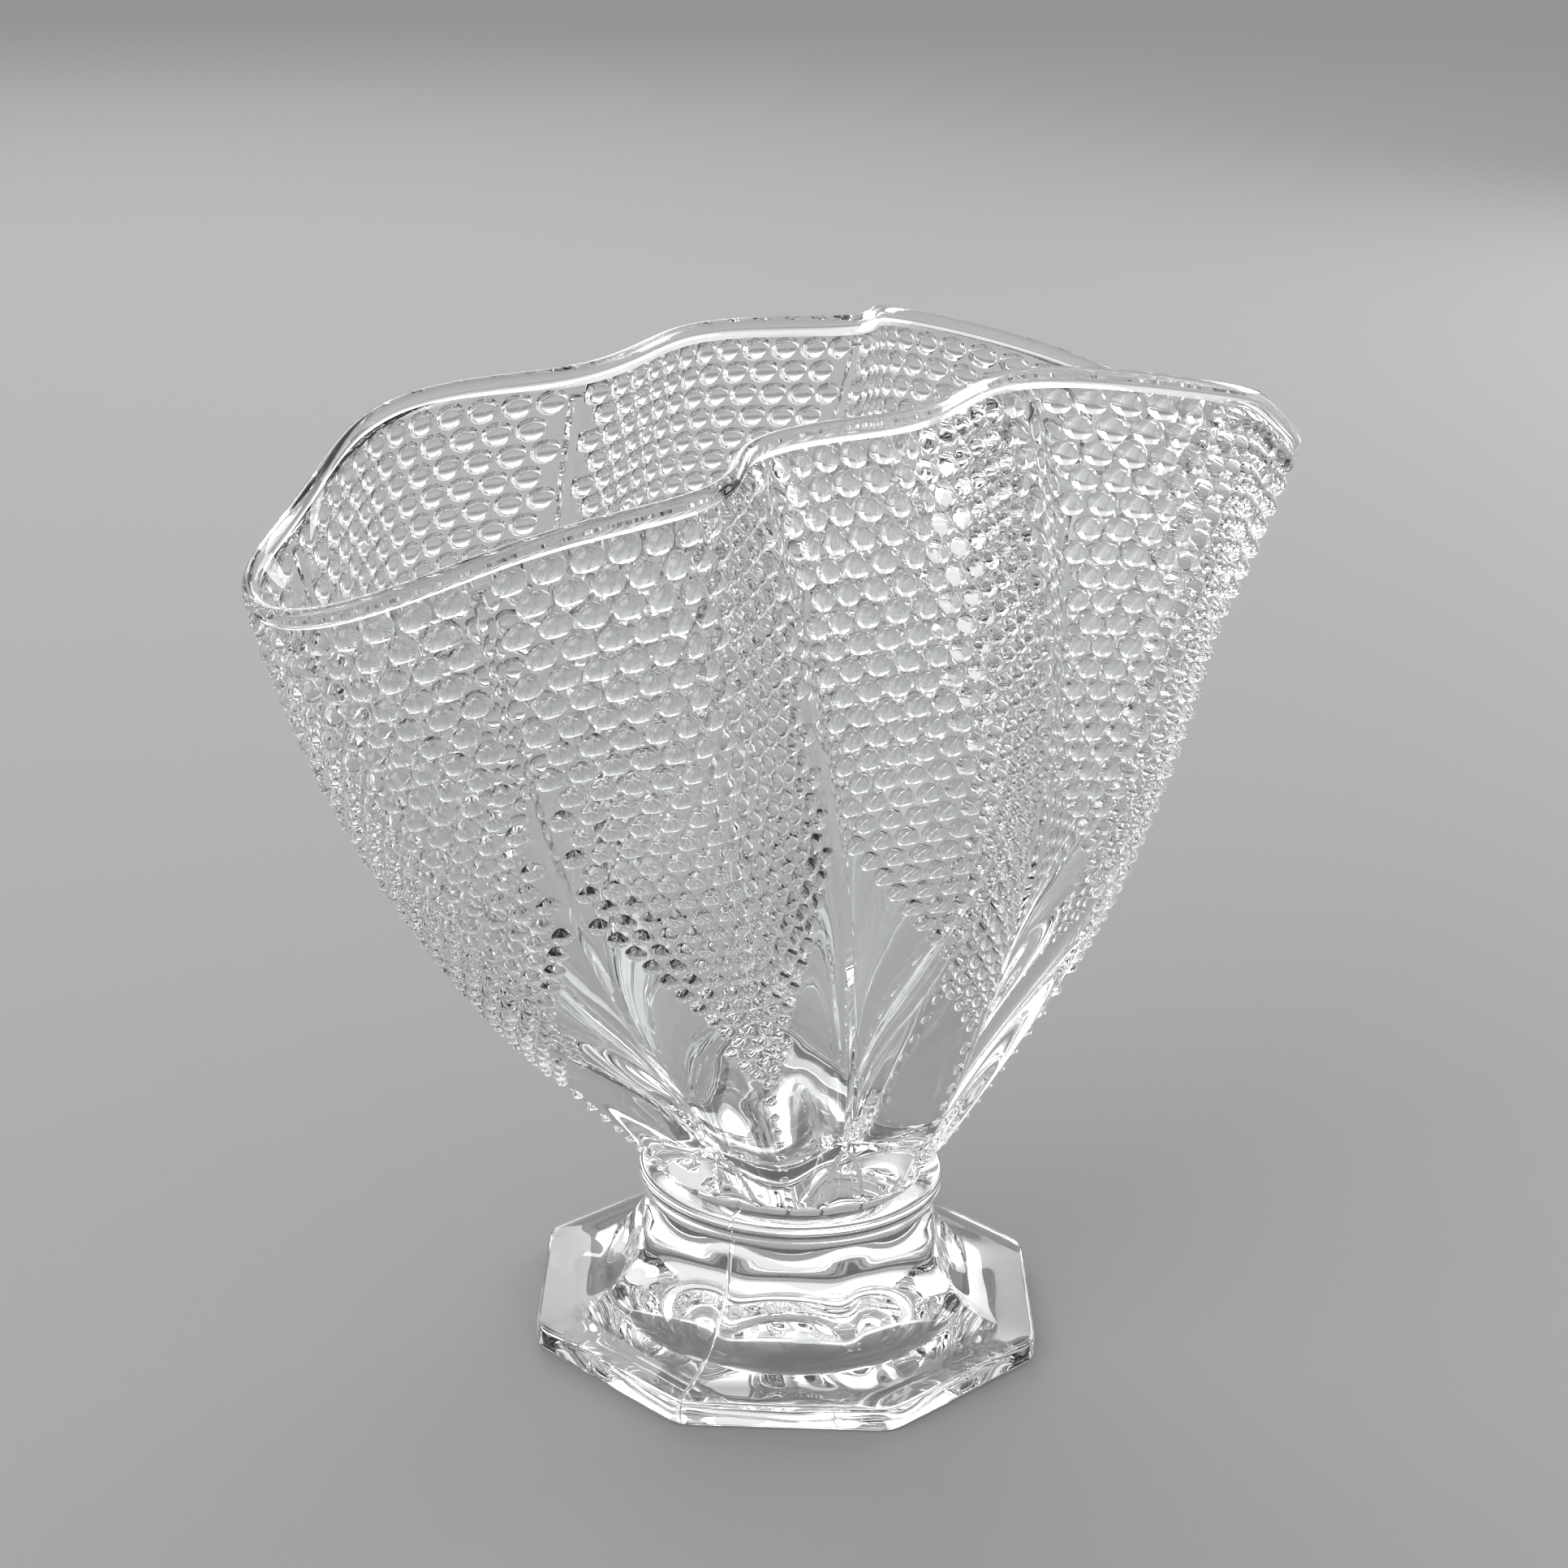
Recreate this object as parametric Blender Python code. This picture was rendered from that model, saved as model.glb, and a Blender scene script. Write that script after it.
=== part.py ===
# Fan vase of pressed glass: an eight-sided flared foot, a round collar, and a beaded
# bowl of eight lobes that was pressed round and then squeezed flat while it was soft.
# Metres, +Z up. The vase stands on z = 0, and its wide side runs along X.

import functools
import math

import bmesh
import bpy
import numpy as np
from mathutils import Vector
from mathutils.geometry import delaunay_2d_cdt

# Foot
LOBES = 8                      # sides of the foot, and lobes of the bowl
FOOT_WIDTH = 0.0900            # across two opposite flats
FOOT_EDGE = 0.0036             # height of the upright edge
EDGE_EASE = 0.0008             # easing of the edge, above and below
STEP_HEIGHT = 0.0046           # flat step between the edge and the flare
STEP_DEPTH = 0.0023
FLARE_BASE = 0.0050            # height at which the flare leaves the step
FLARE_TOP = 0.0225             # height at which the eight facets end
NECK_WIDTH = 0.0525            # across the flats at the top of the flare
RECESS_RADIUS = 0.0300         # hollow under the foot
RECESS_DEPTH = 0.0060
RECESS_EASE = 0.0010

# Collar, a round ring between two grooves
COLLAR_RADIUS = 0.0278
COLLAR_HEIGHT = 0.0040
LOWER_GROOVE_RADIUS = 0.0264
LOWER_GROOVE_HEIGHT = 0.0020
UPPER_GROOVE_RADIUS = 0.0240
UPPER_GROOVE_HEIGHT = 0.0022

# Bowl, as it was pressed
BOWL_BASE = 0.0324             # height of the bowl's lower edge
BOWL_BASE_RADIUS = 0.0259
WALL_LENGTH = 0.1500           # from the lower edge to the lip, along the wall
SLOPE_SHARES = (0.0, 0.14, 0.27, 0.45, 0.70, 1.0)
SLOPE_DEGREES = (30.0, 33.5, 31.0, 23.5, 17.6, 12.0)
LOBE_DEPTH_BASE = 0.0020       # crest to valley at the lower edge
LOBE_DEPTH_LIP = 0.0120        # crest to valley at the lip
LOBE_GROWTH_POWER = 0.30
LOBE_SHAPE_POWER = 1.8
WALL_LIP = 0.0030              # depth of the inside below the bead tips, at the lip
WALL_BODY = 0.0044             # in the middle of the wall
WALL_BASE = 0.0075             # and at the lower edge
CAVITY_FLOOR = 0.0385          # height of the bowl's inner floor
CAVITY_TURN_SHARE = 0.08       # share of the wall's length where the floor turns up into the wall

# Bowl, as it was squeezed
SQUEEZE_SHARE = 0.617          # loss of the mouth's depth, front to back
SQUEEZE_POWER = 0.720
WAIST_SHARE = 0.095            # fullness taken from the middle of the broad sides
END_SHARE = 0.102              # and from the quarters beside the ends
BLUNT_SHARE = 0.033            # rounding of the two ends
DRIFT_SHARE = 0.049            # the front wall lags behind the back wall
TURN_DEGREES = 2.05            # slight turn of the mouth against the foot
END_EASE_SHARE = 0.95          # how far the lobes are pulled flat at the two ends

# Beads, on a six-sided grid that narrows with the bowl
BEAD_COLUMNS = 8               # beads side by side on a lobe
STRIP_SHARE = 0.5              # smooth strip in each valley, as a share of the pitch
BEAD_HEIGHT = 0.0020           # at the lip, less lower down as the beads get smaller
BEAD_TOP_SHARE = 0.974         # share of the wall's length where the beads begin
PANE_TOP_SHARE = 0.51          # where the smooth panes open in the valleys
PANE_FOOT_SHARE = 0.255        # where they meet on the crest, with one chain of beads below
LIP_INSET = 0.0004             # smooth lip band below the bead tips

RING_POINTS = 32               # points round the collar
WALL_POINTS = 64               # points round the bowl's lip and inside


def clear_scene():
    for item in list(bpy.data.objects):
        bpy.data.objects.remove(item, do_unlink=True)


def glass_material(name):
    material = bpy.data.materials.new(name)
    material.use_nodes = True
    shader = material.node_tree.nodes["Principled BSDF"]
    shader.inputs["Base Color"].default_value = (0.96, 0.97, 0.97, 1.0)
    shader.inputs["Roughness"].default_value = 0.03
    shader.inputs["Metallic"].default_value = 0.0
    shader.inputs["IOR"].default_value = 1.52
    shader.inputs["Transmission Weight"].default_value = 1.0
    material.diffuse_color = (0.85, 0.88, 0.90, 0.5)
    return material


@functools.lru_cache(maxsize=None)
def pressed_profile():
    """Radius of the round pressed bowl at evenly spaced shares of the wall's length."""
    shares = np.linspace(0.0, 1.0, 401)
    sine = np.sin(np.radians(np.interp(shares, SLOPE_SHARES, SLOPE_DEGREES)))
    run = np.concatenate([[0.0], np.cumsum((sine[1:] + sine[:-1]) / 2.0)])
    return shares, BOWL_BASE_RADIUS + run * WALL_LENGTH / (len(shares) - 1)


def round_radius(slant):
    shares, radii = pressed_profile()
    return np.interp(slant, shares, radii)


def mouth_turn(slant):
    return math.radians(TURN_DEGREES) * slant ** 2


def unit_ring(angle, slant):
    """The squeezed ring's plan, before it is scaled to the glass it has to hold."""
    turned = angle - mouth_turn(slant)
    bent = slant ** 1.5
    lag = np.cos(2.0 * turned) + np.cos(3.0 * turned)
    ends = END_SHARE * np.sin(3.0 * turned) - BLUNT_SHARE * np.sin(5.0 * turned)
    along = np.sin(turned) - bent * (ends + DRIFT_SHARE * lag)
    across = np.cos(turned) * (1.0 - SQUEEZE_SHARE * slant ** SQUEEZE_POWER)
    across = across - bent * WAIST_SHARE * np.cos(3.0 * turned)
    return along, -across


@functools.lru_cache(maxsize=None)
def ring_lengths():
    """Length round the unit ring at a few levels of the wall."""
    levels = np.linspace(0.0, 1.0, 61)
    around = np.linspace(0.0, 2.0 * math.pi, 241)
    x, y = unit_ring(around[None, :], levels[:, None])
    return levels, np.hypot(np.diff(x, axis=1), np.diff(y, axis=1)).sum(axis=1)


def ring_plan(angle, slant):
    """Plan of a ring that is as long as it was in the round bowl."""
    levels, lengths = ring_lengths()
    scale = round_radius(slant) * 2.0 * math.pi / np.interp(slant, levels, lengths)
    x, y = unit_ring(angle, slant)
    return x * scale, y * scale


def wall_height(angle, slant):
    """Each strip of wall keeps its length, so it stands lower where it leans out further."""
    steps = np.linspace(0.0, 1.0, 49).reshape((-1,) + (1,) * np.ndim(slant))
    x, y = ring_plan(angle[None, ...], steps * slant[None, ...])
    sideways = np.diff(x, axis=0) ** 2 + np.diff(y, axis=0) ** 2
    step = slant * WALL_LENGTH / (len(steps) - 1)
    rise = np.sqrt(np.maximum(step ** 2 - sideways, 0.01 * step ** 2))
    return BOWL_BASE + rise.sum(axis=0)


def skin_point(angle, slant):
    """Point of the lobed skin through the tips of the beads."""
    nudge = 1e-4
    x, y = ring_plan(angle, slant)
    x_next, y_next = ring_plan(angle + nudge, slant)
    span = np.hypot(x_next - x, y_next - y)
    out_x = (y_next - y) / span
    out_y = -(x_next - x) / span
    depth = LOBE_DEPTH_BASE + (LOBE_DEPTH_LIP - LOBE_DEPTH_BASE) * slant ** LOBE_GROWTH_POWER
    depth = depth * (1.0 - END_EASE_SHARE * np.sin(angle - mouth_turn(slant)) ** 4 * slant)
    swell = depth * (np.abs(np.cos(0.5 * LOBES * angle)) ** LOBE_SHAPE_POWER - 0.6)
    height = wall_height(angle, slant)
    return np.stack([x + swell * out_x, y + swell * out_y, height], axis=-1)


def wall_point(angle, slant, inward):
    """Point of the wall at a depth below the skin, square to the glass."""
    angle = np.asarray(angle, dtype=float)
    slant = np.broadcast_to(np.asarray(slant, dtype=float), angle.shape)
    nudge = 1e-3
    low = np.maximum(slant - nudge, 0.0)
    high = np.minimum(slant + nudge, 1.0)
    around = skin_point(angle + nudge, slant) - skin_point(angle - nudge, slant)
    upward = skin_point(angle, high) - skin_point(angle, low)
    outward = np.cross(around, upward)
    outward = outward / np.linalg.norm(outward, axis=-1, keepdims=True)
    upward = upward / np.linalg.norm(upward, axis=-1, keepdims=True)
    inward = np.broadcast_to(np.asarray(inward, dtype=float), angle.shape)[..., None]
    return skin_point(angle, slant) - inward * outward, upward


def bead_height(slant):
    return BEAD_HEIGHT * round_radius(slant) / round_radius(1.0)


def wall_depth(slant):
    """Depth of the inside below the skin: thin at the lip, thick at the foot."""
    body = WALL_LIP + (WALL_BODY - WALL_LIP) * (1.0 - slant ** 12)
    return body + (WALL_BASE - WALL_BODY) * (1.0 - slant) ** 3


def ring_angles(count):
    """Angles round the vase that begin on a corner of the foot, which is a valley of the bowl."""
    return (np.arange(count) / count - 0.5 / LOBES) * 2.0 * math.pi


def octagon_ring(width, height, count=LOBES):
    """Ring on an eight-sided outline whose flats lie under the lobes' crests."""
    angles = ring_angles(count)
    side = 2.0 * math.pi / LOBES
    from_flat = (angles + side / 2.0) % side - side / 2.0
    radius = 0.5 * width / np.cos(from_flat)
    return np.stack([radius * np.sin(angles), -radius * np.cos(angles), 0.0 * angles + height], axis=-1)


def circle_ring(radius, height):
    angles = ring_angles(RING_POINTS)
    return np.stack([radius * np.sin(angles), -radius * np.cos(angles), 0.0 * angles + height], axis=-1)


def recess_rings():
    """Domed hollow under the foot, from its middle outwards."""
    rings = []
    for share in (0.45, 0.80, 0.98):
        rings.append(circle_ring(RECESS_RADIUS * share, RECESS_DEPTH * (1.0 - share ** 2)))
    rings.append(circle_ring(RECESS_RADIUS + RECESS_EASE, 0.0))
    return rings


def foot_rings():
    """Upright eight-sided edge, small step and concave flare."""
    rings = [
        octagon_ring(FOOT_WIDTH - 2.0 * EDGE_EASE, 0.0),
        octagon_ring(FOOT_WIDTH, EDGE_EASE),
        octagon_ring(FOOT_WIDTH, FOOT_EDGE),
        octagon_ring(FOOT_WIDTH - 2.0 * EDGE_EASE, STEP_HEIGHT),
    ]
    flare_width = FOOT_WIDTH - 2.0 * STEP_DEPTH
    for turn in np.radians(np.linspace(0.0, 90.0, 9)[:-1]):
        width = flare_width - (flare_width - NECK_WIDTH) * math.sin(turn)
        rings.append(octagon_ring(width, FLARE_TOP - (FLARE_TOP - FLARE_BASE) * math.cos(turn)))
    rings.append(octagon_ring(NECK_WIDTH, FLARE_TOP, RING_POINTS))
    return rings


def collar_rings():
    """Groove, round ring and deeper groove between the foot and the bowl."""
    ring_top = BOWL_BASE - UPPER_GROOVE_HEIGHT
    ring_middle = ring_top - COLLAR_HEIGHT / 2.0
    rings = [circle_ring(LOWER_GROOVE_RADIUS, FLARE_TOP + LOWER_GROOVE_HEIGHT)]
    for turn in np.radians((-60.0, 0.0, 60.0)):
        bulge = (COLLAR_RADIUS - LOWER_GROOVE_RADIUS) * math.cos(turn)
        rings.append(circle_ring(LOWER_GROOVE_RADIUS + bulge,
                                 ring_middle + 0.5 * COLLAR_HEIGHT * math.sin(turn)))
    rings.append(circle_ring(UPPER_GROOVE_RADIUS, ring_top))
    rings.append(circle_ring(UPPER_GROOVE_RADIUS, BOWL_BASE - UPPER_GROOVE_HEIGHT / 3.0))
    return rings


def lip_rings():
    """Rounded lip over the end of the wall."""
    angles = ring_angles(WALL_POINTS)
    outer, upward = wall_point(angles, 1.0, LIP_INSET)
    inner, upward = wall_point(angles, 1.0, WALL_LIP)
    middle = (outer + inner) / 2.0
    reach = (outer - inner) / 2.0
    rings = []
    for turn in np.radians((35.0, 90.0, 145.0)):
        rings.append(middle + reach * math.cos(turn)
                     + upward * (0.5 * (WALL_LIP - LIP_INSET) * math.sin(turn)))
    return rings


def inner_rings():
    """Smooth inside of the wall, from the lip down to the turn of the floor."""
    angles = ring_angles(WALL_POINTS)
    slants = (1.0, 0.97, 0.90, 0.80, 0.70, 0.58, 0.46, 0.34, 0.24, 0.15, CAVITY_TURN_SHARE)
    return [wall_point(angles, slant, wall_depth(slant))[0] for slant in slants]


def floor_rings(turn_ring):
    """Dished floor of the cavity, drawn in from the last ring of the wall."""
    rings = []
    for share, step in ((0.80, 1), (0.50, WALL_POINTS // RING_POINTS)):
        ring = turn_ring[::step] * share
        ring[:, 2] = CAVITY_FLOOR + (turn_ring[::step, 2] - CAVITY_FLOOR) * share ** 4
        rings.append(ring)
    return rings


def pitch_angle():
    return 2.0 * math.pi / LOBES / (BEAD_COLUMNS + STRIP_SHARE)


@functools.lru_cache(maxsize=None)
def bead_rows():
    """Row number, counted down from the first bead, at shares of the wall's length."""
    shares, radii = pressed_profile()
    rate = WALL_LENGTH / (math.sqrt(0.75) * radii * pitch_angle())
    count = np.concatenate([[0.0], np.cumsum((rate[1:] + rate[:-1]) / 2.0)]) / (len(shares) - 1)
    return shares, np.interp(BEAD_TOP_SHARE, shares, count) - count


def slant_at(row):
    shares, rows = bead_rows()
    return float(np.interp(-row, -rows, shares))


def row_at(slant):
    shares, rows = bead_rows()
    return float(np.interp(slant, shares, rows))


def bead_centres():
    """Beads of one lobe: a full field, a field that narrows to the crest, and a chain below."""
    centres = []
    for row in range(int(row_at(0.0))):
        middle = row + 0.5
        slant = slant_at(middle)
        open_share = (slant - PANE_FOOT_SHARE) / (PANE_TOP_SHARE - PANE_FOOT_SHARE)
        reach = 0.5 * BEAD_COLUMNS * min(max(open_share, 0.0), 1.0) ** 0.9 - 0.4
        offset = 0.5 if row % 2 == 0 else 0.0
        columns = [offset + step for step in range(-BEAD_COLUMNS, BEAD_COLUMNS)]
        for column in columns:
            in_field = abs(column) <= reach
            in_chain = column == 0.0
            if (in_field or in_chain) and abs(column) < 0.5 * BEAD_COLUMNS:
                centres.append((column, middle))
    return centres


def lobe_pattern():
    """Flat pattern of one lobe: points as column, row and rise, and the triangles between them."""
    side = 0.5 * (BEAD_COLUMNS + STRIP_SHARE)
    top, bottom = row_at(1.0), row_at(0.0)
    points = {}

    def add(column, row, rise):
        points.setdefault((round(column, 4), round(row, 4)), rise)

    centres = bead_centres()
    for column, row in centres:
        add(column, row, 1.0)
    for step in range(WALL_POINTS // LOBES + 1):
        column = -side + 2.0 * side * step * LOBES / WALL_POINTS
        add(column, top, 0.0)
        add(column, 0.75 * top, 0.0)
        add(column, bottom, 0.0)
    for row in range(int(bottom)):
        add(-side, row + 0.5, 0.0)
        add(side, row + 0.5, 0.0)
    for column, row in centres:
        for across, down in ((0.0, -2.0), (0.5, -1.0), (0.5, 1.0), (0.0, 2.0), (-0.5, 1.0), (-0.5, -1.0)):
            pit = (column + across, row + down / 3.0)
            if abs(pit[0]) < side - 0.05 and pit[1] < bottom - 0.3:
                add(pit[0], pit[1], 0.0)
    last = int(bottom)
    for row in range(int(row_at(PANE_TOP_SHARE)) + 2, last, 3):
        for column in np.arange(1.6, side - 0.8, 1.3):
            clear = min(math.hypot(column - bead[0], row - bead[1]) for bead in centres)
            if clear > 1.3:
                add(column, row, 0.0)
                add(-column, row, 0.0)

    keys = list(points)
    flat = [Vector((column, row * math.sqrt(0.75))) for column, row in keys]
    result = delaunay_2d_cdt(flat, [], [], 0, 1e-6)
    sources = [origin[0] for origin in result[3]]
    corners = [keys[source] + (points[keys[source]],) for source in sources]
    return np.array(corners), result[2]


def bowl_points(lobe, pattern):
    """The flat pattern carried onto one lobe of the squeezed wall."""
    column, row, rise = pattern.T
    shares, rows = bead_rows()
    slant = np.interp(-row, -rows, shares)
    slant = np.where(row <= row_at(1.0) + 1e-3, 1.0, slant)
    angle = (lobe / LOBES) * 2.0 * math.pi + column * pitch_angle()
    in_lip = row < 0.6 * row_at(1.0)
    inward = np.where(in_lip, LIP_INSET, (1.0 - rise) * bead_height(slant))
    return wall_point(angle, slant, inward)[0]


def add_beaded_wall(mesh):
    """Outside of the bowl. Gives back its lower and upper edges as rings of points."""
    pattern, triangles = lobe_pattern()
    top, bottom = row_at(1.0), row_at(0.0)
    edges = {top: [], bottom: []}
    for lobe in range(LOBES):
        corners = [mesh.verts.new(point) for point in bowl_points(lobe, pattern)]
        for triangle in triangles:
            mesh.faces.new([corners[index] for index in triangle])
        for row, ring in edges.items():
            found = [index for index in range(len(corners)) if abs(pattern[index, 1] - row) < 1e-3]
            found.sort(key=lambda index: pattern[index, 0])
            ring.extend(corners[index] for index in found[:-1])
    return edges[bottom], edges[top]


def add_ring(mesh, ring):
    return [mesh.verts.new(point) for point in ring]


def join_rings(mesh, first, second):
    """Faces between two rings, of which one may have a whole number of times the other's points."""
    if len(first) == len(second):
        for step in range(len(first)):
            after = (step + 1) % len(first)
            mesh.faces.new((first[step], first[after], second[after], second[step]))
        return
    few, many = (first, second) if len(first) < len(second) else (second, first)
    times = len(many) // len(few)
    for step in range(len(few)):
        after = (step + 1) % len(few)
        for part in range(times):
            index = step * times + part
            corner = few[step] if part < times // 2 else few[after]
            mesh.faces.new((corner, many[index], many[(index + 1) % len(many)]))
        mesh.faces.new((few[step], few[after], many[step * times + times // 2]))


def join_centre(mesh, ring, centre):
    middle = mesh.verts.new(centre)
    for step in range(len(ring)):
        mesh.faces.new((ring[step], ring[(step + 1) % len(ring)], middle))


def centre_in_plan(mesh):
    """The origin lies on the ground under the middle of the vase's outline."""
    xs = [vertex.co.x for vertex in mesh.verts]
    ys = [vertex.co.y for vertex in mesh.verts]
    shift = (-(min(xs) + max(xs)) / 2.0, -(min(ys) + max(ys)) / 2.0, 0.0)
    bmesh.ops.translate(mesh, verts=mesh.verts, vec=shift)


def build_vase(collection):
    mesh = bmesh.new()
    below = [add_ring(mesh, ring) for ring in recess_rings() + foot_rings() + collar_rings()]
    join_centre(mesh, below[0], (0.0, 0.0, RECESS_DEPTH))
    lower_edge, upper_edge = add_beaded_wall(mesh)
    inner = inner_rings()
    above = [add_ring(mesh, ring) for ring in lip_rings() + inner + floor_rings(inner[-1])]
    rings = below + [lower_edge]
    for first, second in zip(rings[:-1], rings[1:]):
        join_rings(mesh, first, second)
    rings = [upper_edge] + above
    for first, second in zip(rings[:-1], rings[1:]):
        join_rings(mesh, first, second)
    join_centre(mesh, above[-1], (0.0, 0.0, CAVITY_FLOOR))
    bmesh.ops.remove_doubles(mesh, verts=mesh.verts, dist=1e-6)
    bmesh.ops.triangulate(mesh, faces=mesh.faces)
    bmesh.ops.recalc_face_normals(mesh, faces=mesh.faces)
    centre_in_plan(mesh)

    data = bpy.data.meshes.new("fan_vase")
    mesh.to_mesh(data)
    mesh.free()
    vase = bpy.data.objects.new("fan_vase", data)
    collection.objects.link(vase)
    data.materials.append(glass_material("clear_glass"))
    data.shade_smooth()
    data.set_sharp_from_angle(angle=math.radians(40.0))
    return vase


clear_scene()
vase_collection = bpy.data.collections.new("glass_fan_vase")
bpy.context.scene.collection.children.link(vase_collection)
build_vase(vase_collection)
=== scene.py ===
import math

import bpy
import numpy as np
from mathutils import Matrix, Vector


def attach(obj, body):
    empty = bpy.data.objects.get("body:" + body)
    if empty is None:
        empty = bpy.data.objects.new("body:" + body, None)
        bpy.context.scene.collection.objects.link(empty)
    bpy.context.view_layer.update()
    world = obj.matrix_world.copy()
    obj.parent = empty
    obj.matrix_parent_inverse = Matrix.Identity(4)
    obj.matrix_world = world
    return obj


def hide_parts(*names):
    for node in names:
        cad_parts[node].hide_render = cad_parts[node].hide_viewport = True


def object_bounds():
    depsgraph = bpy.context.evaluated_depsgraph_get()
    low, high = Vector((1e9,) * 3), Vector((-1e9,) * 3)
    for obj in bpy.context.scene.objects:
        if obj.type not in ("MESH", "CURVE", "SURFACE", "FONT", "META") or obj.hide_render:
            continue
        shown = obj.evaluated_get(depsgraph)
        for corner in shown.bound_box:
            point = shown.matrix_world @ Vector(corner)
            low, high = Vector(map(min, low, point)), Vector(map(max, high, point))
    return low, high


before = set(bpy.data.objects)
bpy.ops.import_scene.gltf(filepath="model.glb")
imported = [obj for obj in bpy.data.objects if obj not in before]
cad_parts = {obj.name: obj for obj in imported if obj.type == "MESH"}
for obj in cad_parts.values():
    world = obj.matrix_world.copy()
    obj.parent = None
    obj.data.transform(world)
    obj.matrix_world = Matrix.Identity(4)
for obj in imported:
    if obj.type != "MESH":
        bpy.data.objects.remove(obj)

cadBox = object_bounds()

# Camera, in metres and degrees. It stands in front of the left corner of the vase
cameraView = {
    "place": (-0.39068, -0.37305, 0.29429),
    "turn": (70.298, -1.916, -44.871),
    "lens": 74.675,
    "sensor": 36.0,
}

# The foot, the collar and the bowl, in metres unless a note says otherwise
vaseShape = {
    "lobes": 8,
    "footWidth": 0.0900,
    "cornerCrisp": (70.0, 20.0),         # how crisp the octagon's corners are, at the foot and the neck
    "footEdge": 0.0036,
    "edgeEase": 0.0008,
    "stepHeight": 0.0046,
    "stepDepth": 0.0023,
    "flareBase": 0.0050,
    "flareTop": 0.0225,
    "neckWidth": 0.0525,
    "recessRadius": 0.0300,
    "recessDepth": 0.0060,
    "restInset": (0.0010, 0.0015),       # flat ring under the foot, inside its inner and outer edge
    "collarRadius": 0.0278,
    "collarHeight": 0.0040,
    "lowerGroove": (0.0264, 0.0020),     # radius and height
    "upperGroove": (0.0240, 0.0022),
    "bowlBase": 0.0324,
    "bowlBaseRadius": 0.0259,
    "wallLength": 0.1500,                # from the bowl's lower edge to the lip, along the glass
    "wallShares": (0.0, 0.14, 0.27, 0.45, 0.70, 1.0),
    "wallSlopes": (30.0, 33.5, 31.0, 23.5, 17.6, 12.0),   # degrees out of upright
    "lobeDepth": (0.0020, 0.0120),       # at the lower edge and at the lip
    "lobeGrowth": 0.30,
    "lobeFullness": 1.8,
    "lobeSet": 0.6,                      # share of the depth by which the valleys lie inside the ring
    "valleyEase": 0.03,                  # rounding of the valleys toward the lip
    "squeeze": (0.617, 0.720),           # share of depth lost at the lip, and how it grows
    "waist": 0.095,                      # this and the next three are shares of the ring's radius
    "endPoint": 0.102,
    "endBlunt": 0.033,
    "frontDrift": 0.049,
    "mouthTurn": 2.05,                   # degrees
    "endEase": 0.95,                     # how far the lobes are pulled flat at the two ends
    "frontEase": 0.45,                   # the same for the valley to the left of the front
    "frontEaseReach": 30,                # power of the cosine, more is narrower
    "innerDepth": (0.0030, 0.0044, 0.0075),   # inside below the bead tips: lip, body, lower edge
    "lipInset": 0.0004,
    "roundInside": (0.45, 0.20),         # shares between which the inside loses its lobes
    "cavityFloor": 0.0385,
    "cavityTurn": 0.08,                  # share of the wall at which the inside turns into its floor
    "creases": (40.0, 62.0),             # degrees above which an edge is sharp, on the foot and on the bowl
}

# The beads on the outside. Columns and rows are counted in bead pitches
beadField = {
    "columns": 12,
    "strip": 0.5,            # smooth strip in each valley, in pitches
    "samples": 4,            # mesh steps to one pitch
    "topShare": 0.984,       # share of the wall at which the first row starts
    "height": 0.0020,        # at the lip, less lower down as the beads get smaller
    "radius": 0.465,         # in pitches
    "rowRadius": 0.5,        # in rows
    "domePower": 0.7,
    "edgeMargin": 0.35,      # what a bead's centre keeps from the edge of the field, in pitches
    "panesTop": 0.51,        # share at which the smooth panes begin
    "panesFoot": 0.255,      # share at which they meet on the crest, with single beads below
    "chainFoot": 0.004,      # share at which the single beads end
    "ribHeight": 0.0006,
    "ribWidth": 0.25,        # to each side of the valley, in pitches
    "ribTop": 0.97,          # share at which the rib ends
    "archHeight": 0.0008,
    "archWidth": 2.4,        # at the bowl's lower edge, in pitches
    "archTop": 0.085,        # share at which the arch closes
    "lipSwell": 0.011,       # share over which the lip's band swells out of the glass
    "bandShares": (1.0, 0.996, 0.992, 0.988),
}
rowSpacing = math.sqrt(0.75)     # one row of a hexagonal grid, in pitches


def roundRadius(share):
    # radius of the round bowl as pressed: the base radius plus the sum of the sines of the slope
    steps = np.linspace(0.0, 1.0, 401)
    sine = np.sin(np.radians(np.interp(steps, vaseShape["wallShares"], vaseShape["wallSlopes"])))
    run = np.concatenate([[0.0], np.cumsum((sine[1:] + sine[:-1]) / 2.0)])
    run *= vaseShape["wallLength"] / (len(steps) - 1)
    return vaseShape["bowlBaseRadius"] + np.interp(share, steps, run)


def ringPlan(angle, share):
    # a circle with its depth cut by the squeeze, waves of cos 3, sin 3 and sin 5 for waist and ends,
    # then scaled so that the ring is as long as it was when it was round
    def unitRing(q, s):
        q = q - math.radians(vaseShape["mouthTurn"]) * s ** 2
        bent = s ** 1.5
        along = np.sin(q) - bent * vaseShape["endPoint"] * np.sin(3 * q)
        along = along + bent * vaseShape["endBlunt"] * np.sin(5 * q)
        along = along - bent * vaseShape["frontDrift"] * (np.cos(2 * q) + np.cos(3 * q))
        loss, growth = vaseShape["squeeze"]
        across = np.cos(q) * (1.0 - loss * s ** growth) - bent * vaseShape["waist"] * np.cos(3 * q)
        return along, -across
    levels = np.linspace(0.0, 1.0, 61)
    x, y = unitRing(np.linspace(0.0, 2.0 * math.pi, 361)[None, :], levels[:, None])
    length = np.hypot(np.diff(x, axis=1), np.diff(y, axis=1)).sum(axis=1)
    scale = roundRadius(share) * 2.0 * math.pi / np.interp(share, levels, length)
    x, y = unitRing(angle, share)
    return x * scale, y * scale


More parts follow.
